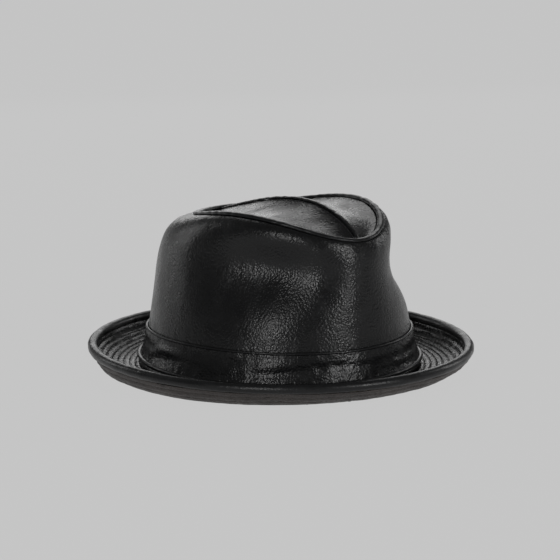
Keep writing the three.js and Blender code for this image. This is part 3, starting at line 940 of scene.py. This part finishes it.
def build_sweatband():
    """The sweatband, its two stitched rows and the cover over its join at the back."""
    share = np.linspace(0, 1, SWEAT_ROWS)[:, None]
    phi = np.broadcast_to(angles(AROUND), (SWEAT_ROWS, AROUND))
    oval = blend(SWEAT_FOOT, SWEAT_TOP, share)
    low, high = (corner[2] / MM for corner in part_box("sweatband"))
    points = oval_point(oval, phi, low + (high - low) * share)
    normals = grid_normals(points, True)
    buckle = waves(points, height=0.25, length=30, seed=51, squeeze=(1, 1, 0.4)) * share
    roll_over = 0.8 * bell(share - 1, 0.05)
    outer = points + normals * (buckle - 0.1 - roll_over)[..., None]
    shell_ring("sweatband_leather", outer, outer - normals * SWEAT_LEATHER, SWEAT,
               ["sweatband"])
    inside = outer - normals * (SWEAT_LEATHER + 0.1)
    runs = []
    for row in SWEAT_STITCH_ROWS:
        runs.append(run_along(inside[row], -normals[row], True))
    stitches("sweatband_stitches", runs, BROWN_THREAD)
    across = PI + np.linspace(-1, 1, TAPE_COLUMNS) * TAPE_HALF_WIDTH / SWEAT_FOOT["half"]
    tape_phi = np.broadcast_to(across, (SWEAT_ROWS, TAPE_COLUMNS))
    tape = oval_point(oval, tape_phi, low + (high - low) * (0.05 + 0.9 * share))
    facing = grid_normals(tape, False)
    inward = TAPE_INWARD + waves(tape, height=0.05, length=8, seed=53)
    slab("sweatband_joint_cover", tape - facing * inward[..., None],
         tape - facing * (inward + TAPE_THICKNESS)[..., None], SWEAT,
         ["sweatband_joint_tape"])


def build_side_lining():
    """Satin eased to the side wall in soft upright folds, drawn in to meet the tip lining."""
    surface, normals = wall_grid(wall_levels(SATIN_ROWS, SATIN_TOP)[2:], SATIN_AROUND)
    inner = LEATHER + INTERLINING + 2 * GAP
    folds = waves(surface, height=0.35, length=17, seed=61, squeeze=(1, 1, 0.15))
    folds = folds * np.clip((surface[..., 2] - 25) / 50, 0, 1)
    outer = surface - normals * (inner + 0.1 + np.abs(folds))[..., None]
    share = np.linspace(0, 1, 16)[1:, None, None]
    phi = angles(SATIN_AROUND)
    target = oval_point(grown(TIP, -SATIN_DRAWN_IN), phi, rim_height(phi) - SATIN_UNDER_RIM)
    drawn = outer[-1] + (target - outer[-1]) * share
    drawn[..., 2] += SATIN_ARCH * np.sin(PI * share[..., 0])
    outer = np.concatenate([outer, drawn])
    normals = grid_normals(outer, True)
    return shell_ring("crown_side_satin", outer, outer - normals * LINING, LINING_SATIN,
                      ["crown_side_lining"])


def dress_reed():
    """The reed keeps its CAD shape and gets its own plastic."""
    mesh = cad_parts["sweatband_reed"].data
    mesh.materials.clear()
    mesh.materials.append(REED_PLASTIC)


# ---- Stage ----------------------------------------------------------------------------------

def add_floor():
    """A plain floor that glows evenly, so that it stays one flat pale grey."""
    nodes = Nodes("floor_paper")
    tooth = nodes.noise(400.0, 2.0)
    colour = nodes.mix(tooth, (0.018, 0.018, 0.018, 1), (0.022, 0.022, 0.022, 1))
    nodes.shader.inputs["Specular IOR Level"].default_value = 0.0
    nodes.finish(Base_Color=colour, Roughness=1.0, Emission_Color=(1, 1, 1, 1),
                 Emission_Strength=FLOOR_GLOW)
    mesh = bpy.data.meshes.new("floor")
    corners = [(x * FLOOR_REACH, y * FLOOR_REACH, 0)
               for x, y in ((-1, -1), (1, -1), (1, 1), (-1, 1))]
    mesh.from_pydata(corners, [], [(0, 1, 2, 3)])
    mesh.materials.append(nodes.material)
    floor = bpy.data.objects.new("floor", mesh)
    floor.location.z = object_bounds()[0][2] - FLOOR_DROP
    bpy.context.scene.collection.objects.link(floor)


def direction(azimuth, elevation):
    return Vector((math.sin(azimuth) * math.cos(elevation),
                   -math.cos(azimuth) * math.cos(elevation), math.sin(elevation)))


def add_light(name, azimuth, elevation, distance, size, power):
    """A soft box on a sphere round the hat, facing it; size is (width, height) in metres."""
    light = bpy.data.lights.new(name, "AREA")
    light.shape = "RECTANGLE"
    light.size, light.size_y = size
    light.energy = power
    box = bpy.data.objects.new(name, light)
    away = direction(math.radians(azimuth), math.radians(elevation))
    box.location = LIGHTS_FACE + away * distance
    box.rotation_euler = away.to_track_quat("Z", "Y").to_euler()
    bpy.context.scene.collection.objects.link(box)


def add_lights():
    add_light("strip_left", azimuth=-64, elevation=15, distance=1.6, size=(0.06, 0.7),
              power=5.5)
    add_light("strip_right", azimuth=3, elevation=15, distance=1.6, size=(0.08, 0.7),
              power=7)
    add_light("rim_left", azimuth=-162, elevation=17, distance=1.8, size=(0.25, 0.8),
              power=2.0)
    add_light("rim_right", azimuth=78, elevation=17, distance=1.8, size=(0.25, 0.8),
              power=3.5)
    add_light("back_low", azimuth=142, elevation=14, distance=2.0, size=(1.4, 0.5),
              power=4.4)
    add_light("top_box", azimuth=135, elevation=42, distance=2.0, size=(0.9, 0.7),
              power=5)
    world = bpy.data.worlds.new("studio")
    world.use_nodes = True
    background = world.node_tree.nodes["Background"]
    background.inputs["Color"].default_value = (1, 1, 1, 1)
    background.inputs["Strength"].default_value = WORLD_STRENGTH
    bpy.context.scene.world = world


def add_camera():
    """The camera stands off the aim point at the photograph's angle, rolled a little."""
    away = direction(AZIMUTH, ELEVATION)
    level_right = Vector((math.cos(AZIMUTH), math.sin(AZIMUTH), 0))
    level_up = away.cross(level_right)
    right = level_right * math.cos(ROLL) + level_up * math.sin(ROLL)
    up = away.cross(right)
    data = bpy.data.cameras.new("camera")
    data.lens = LENS
    data.sensor_width = SENSOR
    camera = bpy.data.objects.new("camera", data)
    turn = Matrix((right, up, away)).transposed().to_4x4()
    camera.matrix_world = Matrix.Translation(AIM + away * DISTANCE) @ turn
    bpy.context.scene.collection.objects.link(camera)
    bpy.context.scene.camera = camera


# ---- The hat --------------------------------------------------------------------------------

build_wall()
build_back_seam()
build_tip_half("crown_tip_left_leather", 1, "crown_tip_left")
build_tip_half("crown_tip_right_leather", -1, "crown_tip_right")
build_centre_strip()
tip_satin = build_tip_layers()
build_welt()
build_piping("hatband_top_piping", upper_piping_height, UPPER_PIPING_RADIUS,
             "hatband_upper_piping", 71)
build_piping("hatband_foot_piping", lower_piping_height, LOWER_PIPING_RADIUS,
             "hatband_lower_piping", 73)
build_hatband()
build_back_tab()
build_brim()
build_roll()
build_sweatband()
side_satin = build_side_lining()
dress_reed()
add_floor()
add_lights()
add_camera()
bpy.context.scene.view_settings.view_transform = "Standard"
